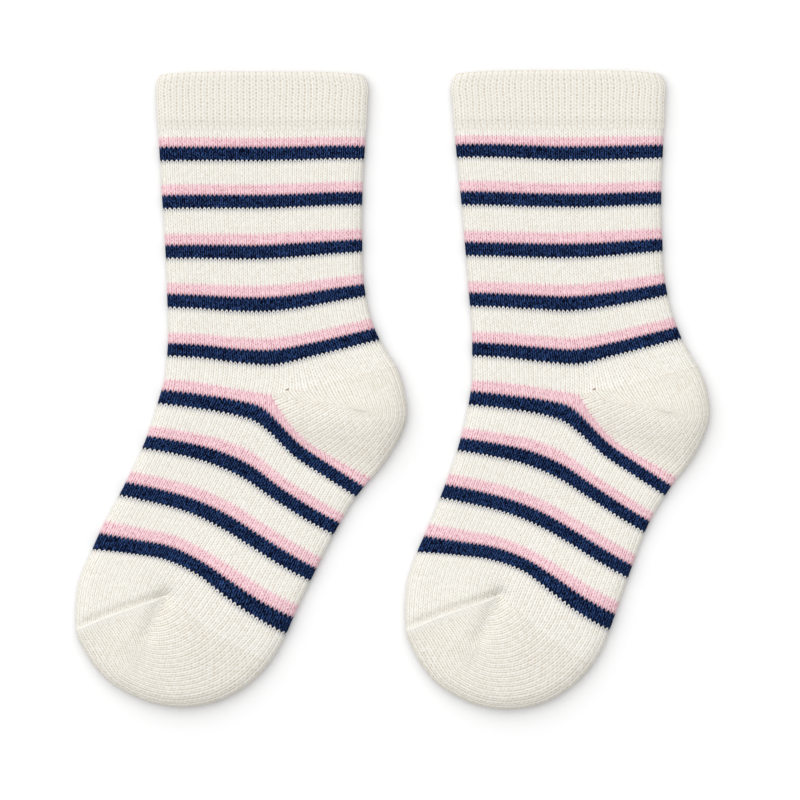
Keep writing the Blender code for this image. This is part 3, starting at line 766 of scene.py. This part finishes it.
def connect(tree, given, value):
    """Sets a node's input to a number, a colour, a field or another node's output."""
    if isinstance(value, Field):
        value = value.socket
    if isinstance(value, bpy.types.NodeSocket):
        tree.links.new(value, given)
    else:
        given.default_value = value


class Field:
    """A number that changes over the cloth. Sums of fields are math nodes."""

    def __init__(self, tree, socket):
        self.tree, self.socket = tree, socket

    def combine(self, operation, *others):
        node = self.tree.nodes.new("ShaderNodeMath")
        node.operation = operation
        for given, value in zip(node.inputs, (self, *others)):
            connect(self.tree, given, value)
        return Field(self.tree, node.outputs[0])

    __add__ = __radd__ = partialmethod(combine, "ADD")
    __sub__ = partialmethod(combine, "SUBTRACT")
    __mul__ = __rmul__ = partialmethod(combine, "MULTIPLY")
    __truediv__ = partialmethod(combine, "DIVIDE")
    __pow__ = partialmethod(combine, "POWER")

    def __rsub__(self, other):
        return self * -1.0 + other

    def smooth(self, start, end, low=0.0, high=1.0):
        """A smooth step from low at start to high at end."""
        node = self.tree.nodes.new("ShaderNodeMapRange")
        node.interpolation_type = "SMOOTHSTEP"
        for given, value in zip(node.inputs, (self, start, end, low, high)):
            connect(self.tree, given, value)
        return Field(self.tree, node.outputs[0])

    def within(self, start, end, softness):
        """1 between start and end, with soft steps to 0 outside them."""
        rising = self.smooth(start - softness, start + softness)
        return rising * self.smooth(end - softness, end + softness, 1.0, 0.0)


def add_node(tree, kind, values, **settings):
    """A node with its settings and named inputs set."""
    node = tree.nodes.new(kind)
    for name, value in settings.items():
        setattr(node, name, value)
    for name, value in values.items():
        connect(tree, node.inputs[name], value)
    return node


def vector(tree, x, y, z=0.0):
    return add_node(tree, "ShaderNodeCombineXYZ", {"X": x, "Y": y, "Z": z}).outputs[0]


def noise(tree, place, detail):
    """Soft noise, stretched to run from 0 to 1."""
    values = {"Vector": place, "Scale": 1.0, "Detail": detail}
    node = add_node(tree, "ShaderNodeTexNoise", values)
    return Field(tree, node.outputs["Fac"]).smooth(0.28, 0.72)


def random_number(tree, x, y):
    """A number from 0 to 1 that is the same all over one cell."""
    place = vector(tree, x, y)
    node = add_node(tree, "ShaderNodeTexWhiteNoise", {"Vector": place}, noise_dimensions="2D")
    return Field(tree, node.outputs["Value"])


def mix(tree, share, first, second):
    """A colour between two."""
    node = tree.nodes.new("ShaderNodeMix")
    node.data_type = "RGBA"
    for index, value in ((0, share), (6, first), (7, second)):
        connect(tree, node.inputs[index], value)
    return node.outputs[2]


def new_group(name, inputs, outputs):
    """An empty shader node group: its tree, and a field for each of its inputs."""
    tree = bpy.data.node_groups.new(name, "ShaderNodeTree")
    for way, sockets in (("INPUT", inputs), ("OUTPUT", outputs)):
        for socket in sockets:
            tree.interface.new_socket(socket, in_out=way, socket_type="NodeSocketFloat")
    given = tree.nodes.new("NodeGroupInput")
    return tree, [Field(tree, socket) for socket in given.outputs[: len(inputs)]]


def close_group(tree, outputs):
    result = tree.nodes.new("NodeGroupOutput")
    for given, value in zip(result.inputs, outputs):
        connect(tree, given, value)
    return tree


def use_group(tree, group, **inputs):
    return add_node(tree, "ShaderNodeGroup", inputs, node_tree=group)


def knit_place(tree):
    """The wale and the course at each point of a piece."""
    knit = add_node(tree, "ShaderNodeUVMap", {}, uv_map="Knit").outputs[0]
    parts = add_node(tree, "ShaderNodeSeparateXYZ", {"Vector": knit})
    return Field(tree, parts.outputs[0]), Field(tree, parts.outputs[1])


def from_middle(x, y, wide, tall):
    """The square of how far out in an oval a point lies, 1 on its edge."""
    x, y = x / wide, y / tall
    return x * x + y * y


def across_wale(wale):
    """0 in the middle of a wale and 1 in the groove between two."""
    return (wale.combine("FRACT") - 0.5).combine("ABSOLUTE") * 2.0


def stitch_group():
    """The relief and tone of plain knit: two legs to a stitch, a deep groove between wales."""
    outputs = ("Height", "Tone", "Across", "Fibre")
    tree, (wale, course) = new_group("plain_knit_stitches", ("Wale", "Course"), outputs)
    across = across_wale(wale)
    leg = course.combine("FRACT") * LEG_SPREAD + LEG_START
    beat = (course * (2 * math.pi)).combine("COSINE")
    centre = (1.0 - across / leg).combine("MAXIMUM", 0.0) ** 1.4
    groove = ((across - leg) / (1.0 - leg)).combine("MAXIMUM", 0.0) ** 1.5
    stitch = random_number(tree, wale.combine("FLOOR"), course.combine("FLOOR"))
    fibre = noise(tree, vector(tree, wale * 7.0, course * 1.1, stitch * 9.0), 2.0)
    line = (wale * 2.0).combine("ROUND")
    uneven = noise(tree, vector(tree, line * 5.3, course * 0.8), 1.0)
    deep = groove * (beat * GROOVE_BEAT + (1 - GROOVE_BEAT))
    hollow = centre * (1.0 - beat * 0.4)
    height = 1.0 - deep - hollow * CENTRE_DEPTH + (fibre - 0.5) * 0.3
    # painted shade: the tone darkens the grooves between wales and the hollows between a stitch's
    # legs; the fibre and stitch noise is the yarn's own unevenness
    tone = 1.0 - deep * (uneven * 0.4 + 0.6) - hollow * (uneven * 0.4 + 0.35)
    tone = tone + (fibre - 0.5) * 0.35 + (stitch - 0.5) * 0.06
    return close_group(tree, (height, tone, across, fibre))


def stripe_group():
    """Where the yarn is pink and where navy, with the zigzag edges that the loops give.

    Hole is the navy that shows inside the first cream stitches below a stripe, and Blush the
    deeper pink between the last pink ones.
    """
    outputs = ("Pink", "Navy", "Hole", "Blush")
    inputs = ("Across", "Course", "Fibre", "Plain", "Tooth")
    tree, (across, course, fibre, plain, tooth) = new_group("striped_yarns", inputs, outputs)
    since_lead = course - (FIRST_PINK_COURSE - STRIPE_LEAD)
    straight = since_lead.combine("FLOORED_MODULO", STRIPE_REPEAT) - STRIPE_LEAD
    zigzag = (across**1.3) * 2.0 - 1.0
    toothed = straight - zigzag * tooth + (fibre - 0.5) * 0.3
    navy_start, navy_end = PINK_COURSES + 0.05, PINK_COURSES + NAVY_COURSES + 0.4
    soft = STRIPE_SOFTNESS

    def streaked(place):
        return place + (across**3.0) * 0.8 + (fibre - 0.5) * 0.6

    above_navy = toothed.smooth(navy_start - soft, navy_start + soft, 1.0, 0.0)
    pink = streaked(straight).smooth(-1.0, 0.25) * above_navy
    navy = toothed.within(navy_start, navy_end, soft)
    # The first stripe and the one after the heel start their pink a little late.
    late = streaked(course)
    for start in (FIRST_PINK_COURSE + 0.4, HEEL_COURSE):
        pink = pink * (1.0 - late.within(start - 1.9, start, 0.5))

    def spot(middle_across, middle_course, wide, tall):
        out = from_middle(across - middle_across, straight - middle_course, wide, tall)
        return out.smooth(0.3, 1.0, 1.0, 0.0)

    below = straight.within(navy_end, navy_end + 1.0, 0.7) * 0.2
    streak = (across**6.0) * straight.within(navy_end + 0.6, navy_end + 1.4, 0.7) * 0.45
    hole = spot(0.0, navy_end + 0.35, 0.34, 0.36) * (fibre + 0.2)
    hole = hole.combine("MAXIMUM", streak) + below
    blush = spot(1.0, navy_start - 0.2, 0.4, 0.7) * (fibre * 0.6 + 0.3)
    blush = blush.combine("MAXIMUM", straight.smooth(navy_start - 1.4, navy_start) * 0.16)
    striped = course.within(FIRST_PINK_COURSE - 2.0, LAST_NAVY_COURSE + 4.0, 0.05) * (1.0 - plain)
    return close_group(tree, [value * striped for value in (pink, navy, hole, blush)])


# Each yarn's colour in the painted shade of its grooves, and on its crests.
CREAM_GROOVE_SHADE, CREAM_CREST = linear(180, 167, 144), linear(224, 223, 218)
PINK_GROOVE_SHADE, PINK_CREST = linear(162, 86, 106), linear(229, 199, 204)
NAVY_GROOVE_SHADE, NAVY_CREST = linear(0, 2, 20), linear(54, 84, 140)
BLUSH = linear(124, 52, 78)
HOLE = linear(66, 74, 102)
EYELET = linear(128, 96, 76)
HEEL_TOE_PAINTED_SHADE = 0.09  # painted shade: the heel and toe are painted a trace deeper
YARN = {
    "Roughness": 0.92, "Specular IOR Level": 0.02, "Sheen Weight": 0.01, "Sheen Roughness": 0.6,
}
STITCH_BUMP = 0.00012  # metres
TOOTH = 0.42  # how far a stripe's edge zigzags, in courses
STRIPE_SOFTNESS = 0.16
STRIPE_LEAD = 2.0  # courses before a stripe, into which its pink can reach
LINKED_LOOPS = 4.0  # the toe's last courses, which go over into a smooth bead
# painted highlight: the bead is painted lighter, as the lip's highlight
BEAD_HIGHLIGHT_TONE = 1.05
BEAD_HIGHLIGHT_SHARE = 0.45
EYELET_PLACE = (2.8, 0.55)  # past the heel's corner in wales, and before it in courses
EYELET_SIZE = (0.38, 0.4)


def new_material(name, values):
    material = bpy.data.materials.new(name)
    material.use_nodes = True
    tree = material.node_tree
    shader = tree.nodes["Principled BSDF"]
    for socket, value in values.items():
        shader.inputs[socket].default_value = value
    return material, tree, shader


def finish_yarn(tree, shader, colour, height):
    values = {"Strength": 0.5, "Distance": STITCH_BUMP, "Height": height}
    bump = add_node(tree, "ShaderNodeBump", values)
    connect(tree, shader.inputs["Normal"], bump.outputs[0])
    connect(tree, shader.inputs["Base Color"], colour)


def toe_knit_material(stitches):
    """Plain cream knit, with a smooth bead of linked loops along the toe seam."""
    material, tree, shader = new_material("toe_knit", YARN)
    wale, course = knit_place(tree)
    stitch = use_group(tree, stitches, Wale=wale, Course=course)
    # The bead is smooth, so its groove shade is painted out, and it is painted lighter than the
    # crest as a highlight on the lip.
    bead = course.smooth(TOE_SEAM_COURSE - LINKED_LOOPS, TOE_SEAM_COURSE - 0.8)
    tone = Field(tree, stitch.outputs["Tone"])
    # painted shade: the toe, like the heel, is painted a trace deeper
    tone = tone + bead * (BEAD_HIGHLIGHT_TONE - tone) * BEAD_HIGHLIGHT_SHARE - HEEL_TOE_PAINTED_SHADE
    finish_yarn(tree, shader, mix(tree, tone, CREAM_GROOVE_SHADE, CREAM_CREST), stitch.outputs["Height"])
    return material


def striped_knit_material(name, stitches, stripes, plain_part, holes, shift=0.0, shade=0.0):
    """Striped knit.

    plain_part gives the part that stays cream, holes the small gaps of the heel's corner and
    gusset, shift is added to the course to find its stripe, and shade paints shade on the cream.
    """
    material, tree, shader = new_material(name, YARN)
    wale, course = knit_place(tree)
    stitch = use_group(tree, stitches, Wale=wale, Course=course)
    outputs = ("Tone", "Across", "Fibre")
    tone, across, fibre = (Field(tree, stitch.outputs[output]) for output in outputs)
    plain = plain_part(wale, course)
    stripe = use_group(
        tree, stripes, Across=across, Course=course + shift, Fibre=fibre, Plain=plain, Tooth=TOOTH
    )
    # painted shade: each yarn runs from its groove shade to its crest colour by the stitches' tone
    cream = mix(tree, tone - shade, CREAM_GROOVE_SHADE, CREAM_CREST)
    cream = mix(tree, stripe.outputs["Hole"], mix(tree, holes(wale, course), cream, EYELET), HOLE)
    grain = fibre - 0.5
    pink = mix(tree, tone + grain * 0.35, PINK_GROOVE_SHADE, PINK_CREST)
    pink = mix(tree, stripe.outputs["Blush"], pink, BLUSH)
    navy = mix(tree, (tone + grain * 0.5).smooth(0.58, 1.62), NAVY_GROOVE_SHADE, NAVY_CREST)
    colour = mix(tree, stripe.outputs["Pink"], cream, pink)
    colour = mix(tree, stripe.outputs["Navy"], colour, navy)
    finish_yarn(tree, shader, colour, stitch.outputs["Height"])
    return material


def wales_from(wale, fold):
    """How many wales away a fold is."""
    round_tube = (wale - fold + WALES / 2).combine("FLOORED_MODULO", WALES)
    return (round_tube - WALES / 2).combine("ABSOLUTE")


def above_heel(wale, course):
    """The last courses of the leg's back half, which run into the plain heel."""
    near = course.combine("GREATER_THAN", HEEL_COURSE - YARN_CHANGE)
    near = near * course.combine("LESS_THAN", HEEL_COURSE - 0.01)
    return wales_from(wale, 0.0).combine("GREATER_THAN", QUARTER) * near


def corner_eyelet(wale, course):
    """A small hole in the leg near each corner of the heel."""
    x = wales_from(wale, 0.0) - QUARTER - EYELET_PLACE[0]
    y = course - HEEL_COURSE + EYELET_PLACE[1]
    return from_middle(x, y, *EYELET_SIZE).smooth(0.2, 1.0, 0.8, 0.0)


def heel_before_stripe(wale, course):
    """All of the heel but the last rows, whose yarn runs into the next pink stripe."""
    return course.combine("LESS_THAN", HEEL_COURSE + HEEL_ROWS - YARN_CHANGE)


def gusset_holes(wale, course):
    """Small gaps between the rows that turn on the heel's gusset line, clearest near its start."""
    turn = (course - HEEL_COURSE - HEEL_ROWS / 2).combine("ABSOLUTE") / (HEEL_ROWS / 2)
    reach = ((turn - 1.0) * GUSSET_SHARE["heel"] + 1.0) * QUARTER
    beside = (reach - wales_from(wale, WALES / 2)).smooth(0.0, 1.0, 1.0, 0.0)
    beat = (course * math.pi).combine("COSINE") * 0.5 + 0.5
    return beside * beat * turn.smooth(0.2, 0.9) * 0.1


def cuff_material():
    """The cuff's turned welt: light ribs, beige holes in the furrows and faint ones between."""
    material, tree, shader = new_material("cream_welt_knit", YARN)
    rib, course = knit_place(tree)
    wander = noise(tree, vector(tree, rib * 0.45, course * 0.15), 2.0) - 0.5
    rib, course = rib + wander * 0.1, course + wander * 0.35
    across = across_wale(rib)
    furrow = rib.combine("ROUND")
    grain = noise(tree, vector(tree, rib * 5.0, course * 1.6), 2.0)

    def holes(value, column, middle_across, wide, tall):
        out = from_middle(across - middle_across, value.combine("FRACT") - 0.5, wide, tall)
        strength = random_number(tree, column, value.combine("FLOOR"))
        return out.smooth(0.0, 1.3, 1.0, 0.0) * (strength * 0.4 + 0.45)

    inside = course.smooth(0.3, 1.8) * course.smooth(CUFF_END - 1.6, CUFF_END - 0.6, 1.0, 0.0)
    strong = holes(course + 0.5, furrow, 1.0, 0.46, 0.40) * inside
    faint = holes(course, rib.combine("FLOOR") + 0.5, 0.0, 0.40, 0.38) * inside * 0.65
    strand = (across - course.combine("FRACT") * 0.4 - 0.3).combine("ABSOLUTE")
    # painted shade: streak darkens the furrows near the cuff's ends, where there are no holes
    streak = (across**3.0) * 0.3 * (1.0 - inside)
    # painted highlight: the legs of the stitches are painted lighter; the grain is the yarn's own
    # unevenness
    tone = 0.7 + strand.smooth(0.0, 0.4, 0.2, 0.0) + (grain - 0.5) * 0.3
    tone = tone - strong * 0.62 - faint * 0.5 - streak
    # painted shade along the cuff's rounded top edge
    tone = tone - course.smooth(0.0, 0.6, 0.15, 0.0)
    height = (grain - 0.5) * 0.4 - strong - faint
    finish_yarn(tree, shader, mix(tree, tone, CREAM_GROOVE_SHADE, CREAM_CREST), height)
    return material


# ---- camera, light and floor

VIEW_WIDTH = 0.248  # metres, across the view at the outline's height
CAMERA_HEIGHT = 1.6
OUTLINE_HEIGHT = 0.002
VIEW_CENTRE = (0.00233, -0.0031)
SENSOR = 36.0
SKY = 0.55
SUN = 2.8
SUN_SOFTNESS = 95.0  # degrees
SUN_TILT = 30.0
SUN_BEARING = 122.0  # degrees from +X, beyond the cuffs and a little to the left
FLOOR = {"Base Color": (0.775, 0.775, 0.775, 1.0), "Roughness": 1.0, "Specular IOR Level": 0.0}


def add_camera():
    camera = bpy.data.cameras.new("camera")
    camera.sensor_width = SENSOR
    camera.lens = SENSOR * CAMERA_HEIGHT / VIEW_WIDTH
    camera.clip_end = 20.0
    view = new_object("camera", camera)
    view.location = (*VIEW_CENTRE, CAMERA_HEIGHT + OUTLINE_HEIGHT)
    bpy.context.scene.camera = view


def add_sun():
    light = bpy.data.lights.new("soft_key", "SUN")
    light.energy = SUN
    light.angle = math.radians(SUN_SOFTNESS)
    lamp = new_object("soft_key", light)
    lamp.rotation_euler = (math.radians(SUN_TILT), 0.0, math.radians(SUN_BEARING + 90))


def add_floor():
    mesh = bpy.data.meshes.new("floor")
    size, level = 3.0, -0.00005
    corners = [(x * size, y * size, level) for x, y in ((-1, -1), (1, -1), (1, 1), (-1, 1))]
    mesh.from_pydata(corners, [], [(0, 1, 2, 3)])
    mesh.materials.append(new_material("floor_white", FLOOR)[0])
    floor = new_object("floor", mesh)


def add_world():
    world = bpy.data.worlds.new("studio")
    world.use_nodes = True
    background = world.node_tree.nodes["Background"]
    background.inputs[0].default_value = (1.0, 1.0, 1.0, 1.0)
    background.inputs[1].default_value = SKY
    bpy.context.scene.world = world


add_camera()
add_world()
add_floor()
add_sun()
bpy.context.scene.view_settings.view_transform = "Standard"

stitches = stitch_group()
stripes = stripe_group()
striped_knit = striped_knit_material("striped_knit", stitches, stripes, above_heel, corner_eyelet)
# The heel is painted a trace deeper, as shade.
heel_knit = striped_knit_material(
    "heel_knit", stitches, stripes, heel_before_stripe, gusset_holes,
    shift=-float(HEEL_ROWS), shade=HEEL_TOE_PAINTED_SHADE,
)
toe_knit = toe_knit_material(stitches)
cream_welt = cuff_material()

# Where the mesh rows lie, in courses. They start close together on the cuff's rounded edge.
top_edge = [0.0, 0.1, 0.25, 0.45, 0.7]
cuff_rows = top_edge + np.arange(1, CUFF_END + 0.01, 1 / CUFF_MESH_ROWS).tolist()
cuff_inner_rows = top_edge + [1, 4, 8, 12, CUFF_END]
leg_rows = np.linspace(CUFF_END, HEEL_COURSE, (HEEL_COURSE - CUFF_END) * MESH_ROWS + 1)
foot_rows = np.concatenate([
    np.linspace(HEEL_COURSE, LAST_NAVY_COURSE, (LAST_NAVY_COURSE - HEEL_COURSE) * MESH_ROWS + 1),
    np.linspace(LAST_NAVY_COURSE, TOE_COURSE, INSTEP_MESH_ROWS + 1)[1:],
])

# How each section is built, and its size as knitted, all round and along, in metres.
sections = {
    "cuff": (add_tube, cuff_rows, cuff_inner_rows, cream_welt, "plain_knit", (0.136, 0.018)),
    "leg": (add_tube, leg_rows, leg_rows[::6], striped_knit, "striped_knit", (0.132, 0.078)),
    "heel": (add_pocket, HEEL_MESH_ROWS, HEEL_INNER_ROWS, heel_knit, "plain_knit", (0.066, 0.036)),
    "foot": (add_tube, foot_rows, foot_rows[::3], striped_knit, "striped_knit", (0.136, 0.062)),
    "toe": (add_pocket, TOE_MESH_ROWS, TOE_INNER_ROWS, toe_knit, "plain_knit", (0.066, 0.053)),
}
for sock in (LEFT_SOCK, RIGHT_SOCK):
    for part, (add, rows, inner_rows, material, slot, flat) in sections.items():
        piece = add(sock, part, rows, inner_rows, material, slot)
        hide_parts(f"{sock.name}_{part}")
